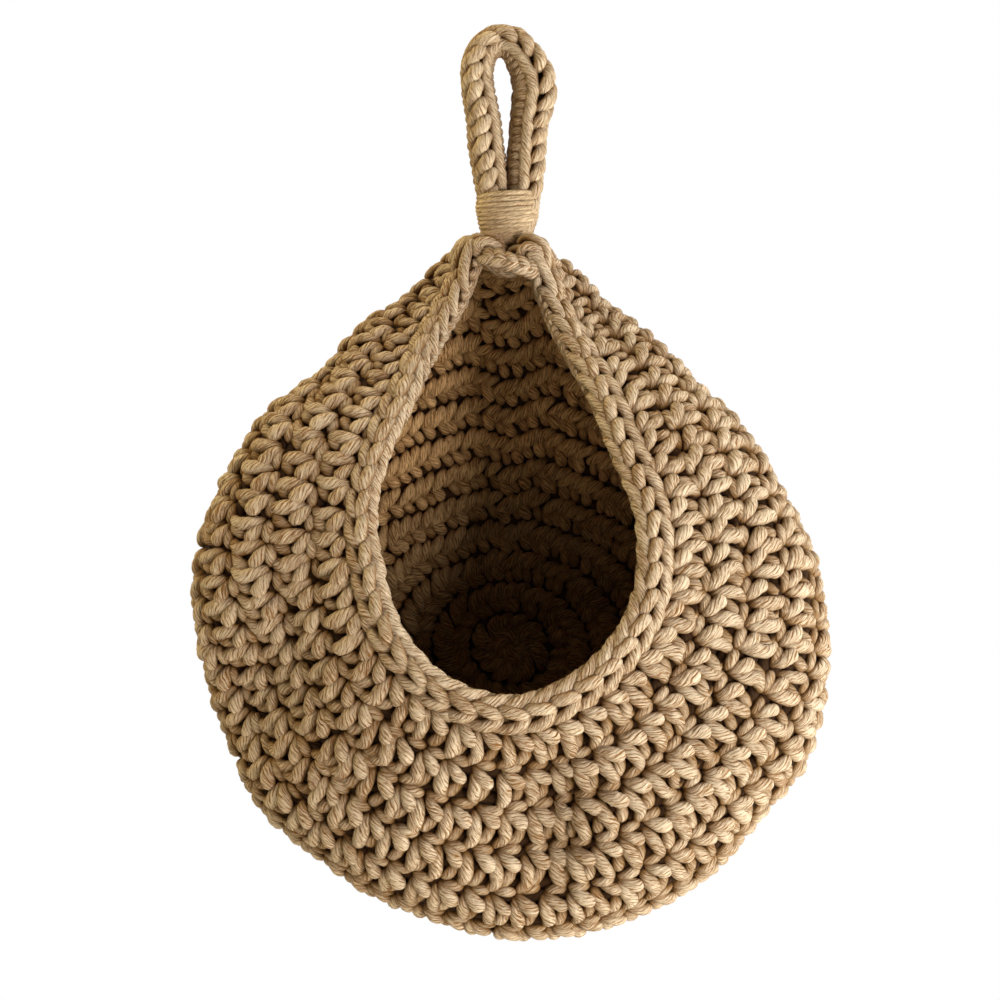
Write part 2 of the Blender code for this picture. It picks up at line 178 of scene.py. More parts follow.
FOOT = 90
HALF_RING = 181


def evened(ring):
    """The ring's points respaced evenly from its foot up each side to its top."""
    right = np.roll(ring, FOOT, axis=0)
    left = np.roll(right[::-1], 1, axis=0)
    halves = []
    for side in (right[:HALF_RING], left[:HALF_RING]):
        length = lengths_along(side)
        halves.append(places_along(side, length, np.linspace(0, length[-1], HALF_RING)))
    return np.roll(np.concatenate((halves[0], halves[1][-2:0:-1])), -FOOT, axis=0)


wall = wall_grid()
rings = [wall[:, 0]] + [evened(wall[:, level]) for level in range(1, wall.shape[1])]
wall = np.stack(rings, axis=1)
rows = np.arange(wall.shape[1]) / ROW_STEPS

# The soft fabric gives: the crown's shoulders rise beside the neck and fall away, and above the
# mouth the rim's two sides climb in front of the neck
SHOULDER_RISE = 7.5 * MM
SHOULDER_FALL = 3.5 * MM
RIM_PEAK = np.array((0.0, -6.5, 7.0)) * MM
PEAK_FROM_ROW = 13
MOUTH_DRAWN = 2.6 * MM
DRAWN_FROM_ROW = 10


def hump(distance, middle, reach):
    """1 at this distance in millimetres, falling softly to 0 on both sides of it."""
    return np.exp(-(((distance - middle) / reach) ** 2))


high = np.clip((wall[..., 2] / MM + 135) / 40, 0, 1)
high = high * high * (3 - 2 * high)
aside = np.abs(wall[..., 0] + 1 * MM) / MM
wall[..., 2] += high * (SHOULDER_RISE * hump(aside, 14, 5) - SHOULDER_FALL * hump(aside, 40, 14))
peak = high * np.clip((rows - PEAK_FROM_ROW) / 1.6, 0, 1)
peak = peak * hump(np.abs(wall[..., 0]) / MM, 10, 6)
wall += RIM_PEAK * peak[..., None]
near_edge = np.clip(rows - DRAWN_FROM_ROW, 0, 5) / 5
low = np.clip((-160 - wall[..., 2] / MM) / 60, 0, 1)
wall[..., 0] += MOUTH_DRAWN * near_edge**1.5 * low

# Its front sinks into a fold below the mouth on the left, a broad hollow beside that, and a
# crease in the middle, each steep on one side and sloping on the other
FOLD_START = np.array((-73.0, -216.0)) * MM
FOLD_END = np.array((-108.0, -286.0)) * MM
FOLD_DEPTH = 6 * MM
FOLD_REACH = 17 * MM
FOLD_SLOPE = 28 * MM
HOLLOW = np.array((-122.0, -290.0)) * MM
HOLLOW_DEPTH = 15.5 * MM
HOLLOW_REACH = 40 * MM
CREASE_X = 17 * MM
CREASE_Z = -324 * MM
CREASE_DEPTH = 10 * MM
CREASE_REACH = 14 * MM
CREASE_SLOPE = 32 * MM
CREASE_LENGTH = 42 * MM
SUNK = np.array((0.25, 0.9, 0.3))
FRONT_FADE = 20 * MM
HOLLOW_FADE = 40 * MM
FIRM_FROM_ROW = 14.2


def in_front(reach):
    """1 on the front of the pouch, fading over this reach to 0 at its girth."""
    return np.clip(-wall[..., 1] / reach, 0, 1)


fold_run = FOLD_END - FOLD_START
from_start = wall[..., (0, 2)] - FOLD_START
share = np.clip(from_start @ fold_run / (fold_run @ fold_run), 0, 1)
away = from_start - share[..., None] * fold_run
outer_side = away[..., 0] * fold_run[1] < away[..., 1] * fold_run[0]
reach = np.where(outer_side, FOLD_SLOPE, FOLD_REACH)
fold = FOLD_DEPTH * np.exp(-((np.linalg.norm(away, axis=-1) / reach) ** 2)) * in_front(FRONT_FADE)
away = np.linalg.norm(wall[..., (0, 2)] - HOLLOW, axis=-1)
fold = fold + HOLLOW_DEPTH * np.exp(-((away / HOLLOW_REACH) ** 2)) * in_front(HOLLOW_FADE)
reach = np.where(wall[..., 0] < CREASE_X, CREASE_SLOPE, CREASE_REACH)
across = ((wall[..., 0] - CREASE_X) / reach) ** 2
crease = np.exp(-across - ((wall[..., 2] - CREASE_Z) / CREASE_LENGTH) ** 4)
fold = fold + CREASE_DEPTH * crease * in_front(FRONT_FADE)
fold = fold * np.clip((FIRM_FROM_ROW - rows) / 2, 0, 1)
wall += SUNK * fold[..., None]

half_row = ROW_STEPS // 2
row_heights = np.roll(wall, -half_row, axis=1) - np.roll(wall, half_row, axis=1)
row_heights = np.linalg.norm(row_heights, axis=2)
around = np.roll(wall, -1, axis=0) - np.roll(wall, 1, axis=0)
outward = np.cross(around, np.gradient(wall, axis=1))
outward[:, 0] = BACKWARD
outward = outward / np.maximum(np.linalg.norm(outward, axis=2, keepdims=True), 1e-12)


def on_wall(turn, row, lift):
    """A place on the wall by angle in degrees, rounds from the back's middle, and height off it."""
    turn, row, lift = np.broadcast_arrays(np.asarray(turn, float) % 360, row, lift)
    i = np.floor(turn).astype(int) % 360
    level = np.clip(row * ROW_STEPS, 0, wall.shape[1] - 1.001)
    j = np.floor(level).astype(int)
    s, t = (turn - np.floor(turn))[..., None], (level - j)[..., None]

    def read(grid):
        near = grid[i, j] * (1 - t) + grid[i, j + 1] * t
        far = grid[(i + 1) % 360, j] * (1 - t) + grid[(i + 1) % 360, j + 1] * t
        return near * (1 - s) + far * s

    return read(wall) + read(outward) * lift[..., None], read(outward)


# The cord: soft cotton, nine fine plies twisted together. Each strand that shows in a stitch is a
# length of it that dives under its neighbours at both ends, pressed a little flat and never quite
# even in thickness.
CORD = 5.4 * MM
PLIES = 9
LAY = 20.0
SIDES = 12
FLATTENED = 0.94
PRESSED = 1.1
UNEVEN = 0.035
EVEN_FROM = 100
# Painted shade: below this height in mm off the wall's middle a strand's colour is darkest, and it
# lightens over the reach above it
PAINTED_SHADE_BELOW = 2.3
PAINTED_SHADE_REACH = 3.6
chance = np.random.default_rng(7)


def smooth_route(points, steps):
    """A curve through each row of points, with this many steps from point to point."""
    before = np.concatenate((2 * points[:, :1] - points[:, 1:2], points[:, :-1]), axis=1)
    after = np.concatenate((points[:, 1:], 2 * points[:, -1:] - points[:, -2:-1]), axis=1)
    slope = (after - before) / 2
    found = []
    for t in np.arange(steps) / steps:
        rise = t * t * (3 - 2 * t)
        found.append(
            points[:, :-1] * (1 - rise) + points[:, 1:] * rise
            + slope[:, :-1] * t * (1 - t) ** 2 - slope[:, 1:] * t * t * (1 - t)
        )
    route = np.stack(found, axis=2).reshape(len(points), -1, points.shape[2])
    return np.concatenate((route, points[:, -1:]), axis=1)


def unit(directions):
    return directions / np.linalg.norm(directions, axis=-1, keepdims=True)


def strands(name, batches):
    """One mesh of cord lengths. A batch holds routes, half thickness, facing, and height in mm; the
    height sets the painted shade between strands.
    """
    verts, quads, yarn, tone, depth, caps = [], [], [], [], [], []
    angle = 2 * math.pi * np.arange(SIDES) / SIDES
    base = 0
    for routes, half, facing, lift in batches:
        count, rings = routes.shape[:2]
        half = np.broadcast_to(half, (count, rings))
        if rings < EVEN_FROM:
            half = half * (1 + UNEVEN * chance.normal(0, 1, (count, rings)))
        run = unit(np.gradient(routes, axis=1))
        if facing.ndim == 2:
            side = np.cross(routes[:, -1:] - routes[:, :1], facing[:, None])
        else:
            side = np.cross(run, facing)
        side = unit(side - run * (side * run).sum(axis=2, keepdims=True))
        up = np.cross(side, run)
        lengths = np.cumsum(np.linalg.norm(np.diff(routes, axis=1), axis=2), axis=1)
        along = np.concatenate((np.zeros((count, 1)), lengths), axis=1) / MM
        along = along + chance.uniform(0, 40, (count, 1))
        ring = up[:, :, None] * (FLATTENED * np.cos(angle)[:, None])
        ring = ring + side[:, :, None] * (PRESSED * np.sin(angle)[:, None])
        ring = ring * half[:, :, None, None]
        verts.append((routes[:, :, None] + ring).reshape(-1, 3))
        lift = np.broadcast_to(lift, (count, rings))[:, :, None]
        # Painted shade: the depth attribute darkens each point that lies low off the wall's middle,
        # in the crevices between strands
        rise = np.abs(lift + half[:, :, None] / MM * np.cos(angle))
        depth.append(np.clip((rise - PAINTED_SHADE_BELOW) / PAINTED_SHADE_REACH, 0, 1).ravel())
        data = np.empty((count, rings, SIDES, 3))
        data[..., 0] = along[:, :, None]
        data[..., 1] = np.cos(angle)
        data[..., 2] = np.sin(angle)
        yarn.append(data.reshape(-1, 3))
        tone.append(np.repeat(chance.uniform(0, 1, count), rings * SIDES))
        at = base + np.arange(count * rings * SIDES).reshape(count, rings, SIDES)
        here, there = at[:, :-1], at[:, 1:]
        corners = (here, np.roll(here, -1, axis=2), np.roll(there, -1, axis=2), there)
        quads.append(np.stack(corners, axis=-1).reshape(-1, 4))
        caps += [list(row[::-1]) for row in at[:, 0]] + [list(row) for row in at[:, -1]]
        base += count * rings * SIDES
    mesh = bpy.data.meshes.new(name)
    faces = np.concatenate(quads).tolist() + caps
    mesh.from_pydata(np.concatenate(verts).tolist(), [], faces)
    for label, kind, field, values in (
        ("yarn", "FLOAT_VECTOR", "vector", yarn),
        ("tone", "FLOAT", "value", tone),
        ("depth", "FLOAT", "value", depth),
    ):
        kept = mesh.attributes.new(label, kind, "POINT")
        kept.data.foreach_set(field, np.concatenate(values).ravel())
    mesh.shade_smooth()
    made = bpy.data.objects.new(name, mesh)
    bpy.context.collection.objects.link(made)
    return made


def dress(piece, finish, node, body):
    """Give the piece its finish and put it in the place of its CAD node."""
    piece.data.materials.append(finish)
    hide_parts(node)
    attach(piece, body)


class Wire:
    """One value in a material. Sums on it add the nodes that work them out."""

    def __init__(self, tree, socket=None):
        self.tree, self.socket = tree, socket

    def node(self, kind, settings=None, **values):
        """A node with its settings, then its sockets by name, or by number as _0, _1 and on."""
        made = self.tree.nodes.new(kind)
        for key, value in (settings or {}).items():
            setattr(made, key, value)
        for key, value in values.items():
            number = key[1:].isdigit()
            slot = made.inputs[int(key[1:]) if number else key.replace("_", " ")]
            if isinstance(value, Wire):
                self.tree.links.new(value.socket, slot)
            else:
                slot.default_value = value
        return made

    def of(self, made, name=0):
        return Wire(self.tree, made.outputs[name])

    def maths(self, operation, first, second=0.0):
        return self.of(self.node("ShaderNodeMath", {"operation": operation}, _0=first, _1=second))

    def clamped(self):
        return self.of(self.node("ShaderNodeClamp", _0=self))

    def __add__(self, other):
        return self.maths("ADD", self, other)

    __radd__ = __add__

    def __sub__(self, other):
        return self.maths("SUBTRACT", self, other)

    def __rsub__(self, other):
        return self.maths("SUBTRACT", other, self)

    def __mul__(self, other):
        return self.maths("MULTIPLY", self, other)

    __rmul__ = __mul__

    def __pow__(self, other):
        return self.maths("POWER", self, other)

    def __abs__(self):
        return self.maths("ABSOLUTE", self)


# How the twisted cotton looks: how far the plies wander, how strongly the fibres, the tone of each
# length and broad patches shade it, how dark the painted shade in the grooves between plies is, and
# how high they stand
WANDER = 9.0
FIBRE_SHADE = 4.8
TONE_SHADE = 0.34
PATCH_SHADE = 0.4
SHADE_FROM = 2.0
GROOVE_SHADE = 1.05
PATCH_SCALE = 22.0
RELIEF = 0.6 * MM
# The warm brown that the painted shade passes through between strands
WARM_PAINTED_SHADE = (0.26, 0.12, 0.029)


def cotton(name, light, brown, painted_shade, warm_painted_shade=WARM_PAINTED_SHADE, plies=PLIES, lay=LAY, grooves=1.0):
    """Twisted cotton: round plies with grooves darkened towards brown as painted shade, fine
    fibres, and painted shade where the strands meet.
    """
    made = bpy.data.materials.new(name)
    made.use_nodes = True
    tree = made.node_tree
    shader = tree.nodes["Principled BSDF"]
    shader.inputs["Specular IOR Level"].default_value = 0.2
    start = Wire(tree)

    def kept(label, output):
        return start.of(start.node("ShaderNodeAttribute", {"attribute_name": label}), output)

    def spot(*parts):
        values = {f"_{i}": part for i, part in enumerate(parts)}
        return start.of(start.node("ShaderNodeCombineXYZ", **values))

    def noise(place, scale, **more):
        texture = start.node("ShaderNodeTexNoise", Vector=place, Scale=scale, **more)
        return start.of(texture, "Fac")

    def blend(factor, first, second):
        first, second = (c if isinstance(c, Wire) else (*c, 1) for c in (first, second))
        kind = {"data_type": "RGBA"}
        mixed = start.node("ShaderNodeMix", kind, Factor=factor, _6=first, _7=second)
        return start.of(mixed, 2)

    # The noise is read along the whole cord, along a ply and along a fibre, and the tone sets the
    # lengths of cord apart from each other
    tone, depth = kept("tone", "Fac"), kept("depth", "Fac")
    parts = start.node("ShaderNodeSeparateXYZ", _0=kept("yarn", "Vector"))
    along, top, flank = (start.of(parts, i) for i in range(3))
    turn = start.maths("ARCTAN2", flank, top)
    wander = noise(spot(along * 0.12, top * 0.7 + tone * 31, flank * 0.7), 1.0, Detail=1.0)
    phase = (turn + along * (2 * math.pi / lay)) * plies + wander * WANDER
    ply = abs(start.maths("COSINE", phase * 0.5))
    stray = noise(spot(phase * 0.16, along * 0.16, tone * 23), 2.4, Detail=1.0)
    fibre = noise(spot(phase * 0.6, along * 0.3, tone * 17), 1.0, Detail=4.0, Roughness=0.75)
    patch = noise(start.of(start.node("ShaderNodeTexCoord"), "Object"), PATCH_SCALE)

    # Painted shade: the grooves between the plies darken the colour towards brown, beside the bump
    line = (1.0 - ply**0.5) * (stray * 4.4 - 1.5).clamped() * grooves
    shade = fibre * FIBRE_SHADE + tone * TONE_SHADE + patch * PATCH_SHADE - SHADE_FROM
    surface = blend((shade - line * GROOVE_SHADE).clamped(), brown, light)
    # Painted shade: where the depth attribute is low, between strands, the colour falls through a
    # warm brown to the near-black painted shade colour
    shadow = blend((depth * 2.4).clamped(), painted_shade, warm_painted_shade)
    colour = blend((depth * 1.5 - 0.5).clamped(), shadow, surface)
    relief = ply**0.8 * (stray + 0.15) + fibre * 2.0
    bump = start.node("ShaderNodeBump", Height=relief, Strength=1.0, Distance=RELIEF)
    tree.links.new(colour.socket, shader.inputs["Base Color"])
    tree.links.new((0.98 - fibre * 0.2).socket, shader.inputs["Roughness"])
    tree.links.new(bump.outputs[0], shader.inputs["Normal"])
    return made


# The cord's pale colour, its brown for darker fibres and for painted shade in the ply grooves, and
# the near-black of its painted shade between strands
CORD_LIGHT = (0.81, 0.62, 0.405)
CORD_BROWN = (0.27, 0.112, 0.022)
CORD_PAINTED_SHADE = (0.045, 0.017, 0.003)
cord_finish = cotton("cotton_cord", CORD_LIGHT, CORD_BROWN, CORD_PAINTED_SHADE)


# The rounds: each stitch of single crochet is one cord hooked into the round below. Outside, its
# top loop lies over a fat hump and two legs. Inside, two slanting strands lie above a steep one
# and a fat one, and between the two faces the cord doubles back on itself.
STITCH = 11.1 * MM
FEWEST = 6
FIRST_HOLE = 20
DRIFT = 0.24
LEAN_SHARE = 0.6
USUAL_ROW = 17.5 * MM
STRAY = (0.055, 0.025, 0.3)
THICKNESS = (0.88, 1.08)
SQUEEZE = (0.62, 1.1)
SQUEEZE_POWER = 0.6
LOWEST_ROW = 0.02
# Each place of a strand, from the hole at the left of the stitch's top loop: across in stitches,
# up in rounds, out in millimetres, and share of the thickness
HUMP = (
    (0.07, -0.03, 0.2, 0.42), (0.16, -0.08, 2.4, 0.62), (0.36, -0.18, 3.8, 0.92),
    (0.58, -0.3, 4.1, 1.08), (0.75, -0.4, 3.5, 1.04), (0.83, -0.45, 1.9, 0.62),
)
LOOP = (
    (0.1, 0.02, 0.1, 0.5), (0.24, 0.01, 2.1, 0.85), (0.5, 0.01, 3.1, 1.0), (0.77, 0.0, 2.4, 0.95),
    (0.91, 0.0, 0.3, 0.55),
)
LEFT_LEG = (
    (0.01, -0.14, 0.3, 0.5), (0.03, -0.23, 2.3, 0.82), (0.1, -0.48, 3.6, 1.04),
    (0.16, -0.75, 3.4, 1.0),
)
LEFT_FOOT = ((-0.15, 0.08, 2.2, 0.8), (-0.15, -0.02, 0.2, 0.46))
RIGHT_LEG = ((0.73, -0.46, 0.4, 0.6), (0.65, -0.56, 2.0, 0.95), (0.48, -0.76, 2.5, 1.0))
RIGHT_FOOT = ((0.1, 0.18, 1.5, 0.76), (0.05, 0.09, 0.0, 0.44))
FIRST_SLANT = (
    (0.34, -0.6, 0.2, 0.45), (0.22, -0.49, -3.0, 0.86), (-0.12, -0.24, -4.5, 1.06),
    (-0.38, -0.08, -3.2, 0.86), (-0.46, -0.03, 0.2, 0.45),
)
SECOND_SLANT = (
    (-0.16, -0.6, 0.2, 0.45), (-0.28, -0.49, -3.0, 0.86), (-0.62, -0.24, -4.5, 1.06),
    (-0.88, -0.08, -3.2, 0.86), (-0.96, -0.03, 0.2, 0.45),
)
STEEP = (
    (0.02, -0.46, 0.0, 0.45), (0.02, -0.55, -2.4, 0.85), (-0.06, -0.7, -3.2, 1.0),
    (-0.15, -0.84, -2.2, 0.85), (-0.18, -0.91, 0.0, 0.45),
)
FAT = (
    (-0.38, -0.46, 0.0, 0.45), (-0.43, -0.54, -2.8, 0.88), (-0.54, -0.7, -3.6, 1.05),
    (-0.64, -0.84, -2.8, 0.88), (-0.69, -0.92, 0.0, 0.45),
)
# The strands of each face, with the part that hooks into the round below and half the thickness
OUTSIDE = (
    (HUMP, (), 2.65 * MM), (LOOP, (), 2.2 * MM), (LEFT_LEG, LEFT_FOOT, 2.7 * MM),
    (RIGHT_LEG, RIGHT_FOOT, 2.5 * MM),
)
INSIDE = (
    (FIRST_SLANT, (), 2.5 * MM), (SECOND_SLANT, (), 2.5 * MM), (STEEP, (), 2.3 * MM),
    (FAT, (), 2.8 * MM),
)
HIDDEN_ROWS = (-0.84, -0.5, -0.16)

# Painted shade inside the pouch: the inside strands take a redder, deeper copy of the cotton for
# the little light that falls there, and darker copies still, graded by round, round the back's
# middle
inside_painted_shade_finish = cotton(
    "cotton_cord_inside_painted_shade", (0.92, 0.58, 0.26), (0.26, 0.115, 0.03), CORD_PAINTED_SHADE, (0.34, 0.17, 0.055)
)
# Painted shade: near-black cotton for the turns between the two faces, standing for the shade deep
# in the stitches
hidden_turn_painted_shade = cotton(
    "cotton_cord_painted_shade_in_the_depth", (0.14, 0.066, 0.019), (0.06, 0.025, 0.005), (0.04, 0.015, 0.003),
    (0.09, 0.04, 0.01),
)
back_painted_shade_finishes = []
for step, light in enumerate((0.46, 0.48, 0.5, 0.58, 0.74)):
    pale_side = (light, light * 0.63, light * 0.28)
    brown_side = (light * 0.28, light * 0.13, light * 0.035)
    name = f"cotton_cord_painted_shade_at_the_back_{step}"
    back_painted_shade_finishes.append(cotton(name, pale_side, brown_side, CORD_PAINTED_SHADE))


def ring_length(row):
    ring = on_wall(np.arange(0, 360, 2), row, 0)[0]
    return np.linalg.norm(ring - np.roll(ring, 1, axis=0), axis=1).sum()


counts = [0]
for number in range(1, ROUND_COUNT + 1):
    counts.append(max(FEWEST, round(ring_length(number - 0.3) / STITCH)))


def hole_turns(number):
    """Angle of each hole in the top of a round."""
    count = max(counts[number], FEWEST)
    return (np.arange(count) - DRIFT * number) * 360 / count + FIRST_HOLE


def straight_down(turns, number):
    """Degrees from each place in the top of a round to the nearest place in the round below."""
    if number == 1:
        return 0 * turns
    shifts = np.arange(-25, 25.01, 0.25)
    here = on_wall(turns, number, 0)[0]
    below = on_wall(turns[:, None] + shifts, number - 1, 0)[0]
    nearest = np.linalg.norm(below - here[:, None], axis=2).argmin(axis=1)
    smooth = np.convolve(np.tile(shifts[nearest], 3), np.ones(3) / 3, "same")
    return smooth[len(turns) : 2 * len(turns)]


def strays(shape):
    """Hand work: each strand, and each place on it, strays a little."""
    return chance.normal(0, 1, (shape[0], 1, 3)) + chance.normal(0, 0.35, shape)


def hooked(number, turns, lean, foot, side, top, bottom, half):
    """The same strand of every stitch in a round. Side is -1 on the inside."""
    pitch = 360 / len(turns)
    places = [(turns + x * pitch - up * lean, number + up, out, share) for x, up, out, share in top]
    places += [(foot + x * pitch, number - 1 + up, out, share) for x, up, out, share in bottom]
    places = np.array([np.broadcast_arrays(*place) for place in places]).transpose(2, 0, 1)
    shift = strays((*places.shape[:2], 3))
    turn = places[..., 0] + shift[..., 0] * pitch * STRAY[0]
    row = np.clip(places[..., 1] + shift[..., 1] * STRAY[1], LOWEST_ROW, None)
    lift = places[..., 2] + shift[..., 2] * STRAY[2]
    points, facing = on_wall(turn, row, lift * MM)
    routes = np.concatenate((points, places[..., 3:], lift[..., None]), axis=2)
    routes = smooth_route(routes, 3)
    level = min(int((number - 0.5) * ROW_STEPS), wall.shape[1] - 1)
    room = row_heights[np.floor(turns % 360).astype(int), level] / USUAL_ROW
    width = half * routes[..., 3] * chance.uniform(*THICKNESS, (len(routes), 1))
    width = width * np.clip(room, *SQUEEZE)[:, None] ** SQUEEZE_POWER
    return routes[..., :3], width, facing.mean(axis=1) * side, routes[..., 4] * side


for number in range(1, ROUND_COUNT + 1):
    turns = hole_turns(number)
    under = hole_turns(number - 1)
    lean = straight_down(turns, number)
    wanted = turns + lean + DRIFT * (360 / len(turns))
    nearest = np.abs((under[None] - wanted[:, None] + 180) % 360 - 180).argmin(axis=1)
    foot = wanted + ((under[nearest] - wanted + 180) % 360 - 180) * LEAN_SHARE
    outside = [hooked(number, turns, lean, foot, 1, *strand) for strand in OUTSIDE]
    inside = [hooked(number, turns, lean, foot, -1, *strand) for strand in INSIDE]
    node = f"round_{number:02d}"
    dress(strands(f"stitches_{number:02d}", outside), cord_finish, node, "basket")
    # Painted shade: rounds near the back's middle take the darker copies, the rest the redder
    # inside copy
    finish = back_painted_shade_finishes[max(number - 2, 0)] if number < 7 else inside_painted_shade_finish
    dress(strands(f"inner_stitches_{number:02d}", inside), finish, node, "basket")

    # The hidden turns between the faces wear the near-black painted-shade cotton
    circle = np.arange(len(turns) * 3 + 1) * 360 / (len(turns) * 3)
    wave = np.sin(np.radians(circle * len(turns)) + number) * 0.4 * MM
    batches = []
    for up in HIDDEN_ROWS:
        points, facing = on_wall(circle, max(number + up, 0.05), wave)
        batches.append((points[None], CORD * 0.5, facing[None], 0))
    dress(strands(f"hidden_turns_{number:02d}", batches), hidden_turn_painted_shade, node, "basket")


# The rim: the last round's top loops, a plait of long links two columns wide, worked in the same
# cord. A third column and the strands behind it roll in over the mouth's edge.
LINK = 11.6 * MM
FIRST_LINK = 3
UNDER_THE_MOUTH = 0.26
OUTER_LINK = (
    (-0.66, 0.0, 0.0), (-0.52, 0.02, 2.2), (-0.14, 0.1, 4.0), (0.2, 0.22, 4.2), (0.4, 0.34, 3.0),
    (0.47, 0.38, 0.6),
)
INNER_LINK = (
    (-0.66, 0.72, 0.4), (-0.52, 0.72, 3.0), (-0.14, 0.67, 4.8), (0.2, 0.58, 4.9), (0.4, 0.47, 3.5),
    (0.48, 0.43, 0.8),
)
EDGE_LINK = (
    (-0.7, 0.74, 0.6), (-0.56, 0.84, 2.6), (-0.12, 0.95, 1.9), (0.3, 0.99, 0.4),
    (0.54, 0.94, -1.4), (0.64, 0.84, -2.8),
)
RIM_BACK = (
    (-0.5, 0.0, -0.8), (-0.42, 0.12, -3.2), (-0.1, 0.42, -4.2), (0.26, 0.74, -3.9),
    (0.44, 0.92, -2.6), (0.5, 0.98, -1.2),
)


def tapered(count):
    """Shares of a link's thickness, thin at both ends where it dives under."""
    return np.sin(np.linspace(0.34, math.pi - 0.34, count)) ** 0.35


links = round(ring_length(ROUND_COUNT + 0.5) / LINK)
link_turns = np.arange(links) * 360 / links + FIRST_LINK
link_pitch = 360 / links
narrowed = 1 - UNDER_THE_MOUTH * np.clip(-np.cos(np.radians(link_turns)), 0, 1) ** 2
batches = []
# The last number of each is the height in mm that sets the strands' painted shade
for shape, half, offset, height in (
    (OUTER_LINK, 2.6 * MM, 0, 3.4), (INNER_LINK, 2.6 * MM, 0, 3.6), (EDGE_LINK, 2.6 * MM, 0.3, 8),
    (RIM_BACK, 2.2 * MM, 0, 8), (RIM_BACK, 2.2 * MM, 0.33, 8), (RIM_BACK, 2.2 * MM, 0.67, 8),
):
    places = []
    for x, up, out in shape:
        turn = link_turns + (x + offset) * link_pitch
        places.append(np.broadcast_arrays(turn, ROUND_COUNT + up * narrowed, out * MM))
    places = np.array(places).transpose(2, 0, 1)
    places = places + strays(places.shape) * (0.02 * link_pitch, 0.012, 0.12 * MM)
    points, facing = on_wall(places[..., 0], places[..., 1], places[..., 2])
    routes = smooth_route(np.concatenate((points, places[..., 2:]), axis=2), 4)
    width = tapered(routes.shape[1])
    batches.append((routes[..., :3], half * width, facing.mean(axis=1), height * width))
circle = np.arange(links * 8 + 1) * 360 / (links * 8)
# The last number is the height in mm that sets the filler strands' painted shade
for row, lift, half, height in ((14.6, -1.2, 2.7, 3.0), (14.3, -0.5, 2.6, 2.0)):
    points, facing = on_wall(circle, row, lift * MM)
    batches.append((points[None], half * MM, facing[None], height))
dress(strands("rim_plait", batches), cord_finish, "rim_chain", "basket")


# The bridge: a short plaited bar of the same cord that draws the mouth's two sides together under
# the binding, stitched into the rim at both ends and bowed a little forward.
BAR_START = np.array((-10.6, -11.0, -90.4)) * MM
BAR_END = np.array((14.0, -11.0, -98.0)) * MM
BAR_BOW = 4.5 * MM
BAR_LINKS = 5
BAR_UP = np.array((0.35, 0.0, 0.94))
BAR_OUT = np.array((0.0, -1.0, 0.0))
# Each place of a strand: along in links, up and out in millimetres
LOWER_STRAND = (
    (-0.3, -0.6, -0.4), (-0.1, -1.9, 1.4), (0.4, -1.6, 2.4), (0.85, 0.2, 2.0), (1.0, 0.9, -0.4),
)
UPPER_STRAND = (
    (-0.3, 0.6, -0.4), (-0.1, 2.2, 1.2), (0.4, 1.9, 2.4), (0.85, 0.0, 1.8), (1.0, -0.6, -0.4),
)
REAR_STRAND = (
    (-0.3, 0.0, -1.0), (0.2, -1.8, -2.4), (0.7, 0.8, -3.2), (1.2, 1.8, -1.4), (1.3, 1.8, 0.0),
)
bar = BAR_END - BAR_START
batches = []
# Painted shade: each bar strand is given a height of 4 mm, which sets its painted shade
for shape, half in (
    (LOWER_STRAND, 2.3 * MM), (UPPER_STRAND, 2.2 * MM), (REAR_STRAND, 2.2 * MM),
):
    places = np.array([
        [
            BAR_START + bar / BAR_LINKS * (link + along) + (BAR_UP * up + BAR_OUT * out) * MM
            for along, up, out in shape
        ]
        for link in range(BAR_LINKS)
    ])
    share = (places - BAR_START) @ bar / (bar @ bar)
    places = places + BAR_OUT * (BAR_BOW * 4 * share * (1 - share))[..., None]
    routes = smooth_route(places, 4)
    width = tapered(routes.shape[1])
    batches.append((routes, half * width, np.tile(BAR_OUT, (BAR_LINKS, 1)), 4.0 * width))
dress(strands("bridge_plait", batches), cord_finish, "bridge_stitches", "basket")


# The strap: a narrow crocheted band folded into a loop, its two ends gathered below. A plaited
# chain runs down its front and its back, and a ladder of ribs on the side that faces the hole.
STRAP_HALF_WIDTH = 7.2 * MM
STRAP_HALF_DEPTH = 6.6 * MM
STRAP_TURN = 4
STRAP_TWIST = 42
TWIST_AT = 0.52
TWIST_SHARPNESS = 22
GATHERED = 0.22
GATHER_Z = -63
CHAIN_LINK = 7.9 * MM
RUNG_PITCH = 3.7 * MM
# Places across and up in millimetres, and share of the band's size, from one end to the other
STRAP_ROUTE = (
    (-4.4, -88, 0.9), (-5.0, -80, 0.95), (-6.0, -70, 1.0), (-6.9, -61, 1.05), (-7.7, -54, 1.05),
    (-8.8, -47.5, 1.08), (-10.0, -38.6, 1.12), (-10.7, -29.7, 1.06), (-12.2, -20.9, 1.04),
    (-13.7, -12, 0.98), (-13.4, -3.1, 1.0), (-9.8, 4.0, 0.95), (-3.0, 7.4, 0.92), (3.6, 4.6, 1.0),
    (8.6, -2.6, 1.16), (12.2, -12, 1.34), (11.4, -20.9, 1.26), (9.7, -29.7, 1.12),
    (8.9, -38.6, 1.06), (8.2, -47.5, 1.06), (7.7, -56, 1.02), (6.4, -68, 1.0), (5.2, -80, 0.95),
    (4.6, -88, 0.9),
)
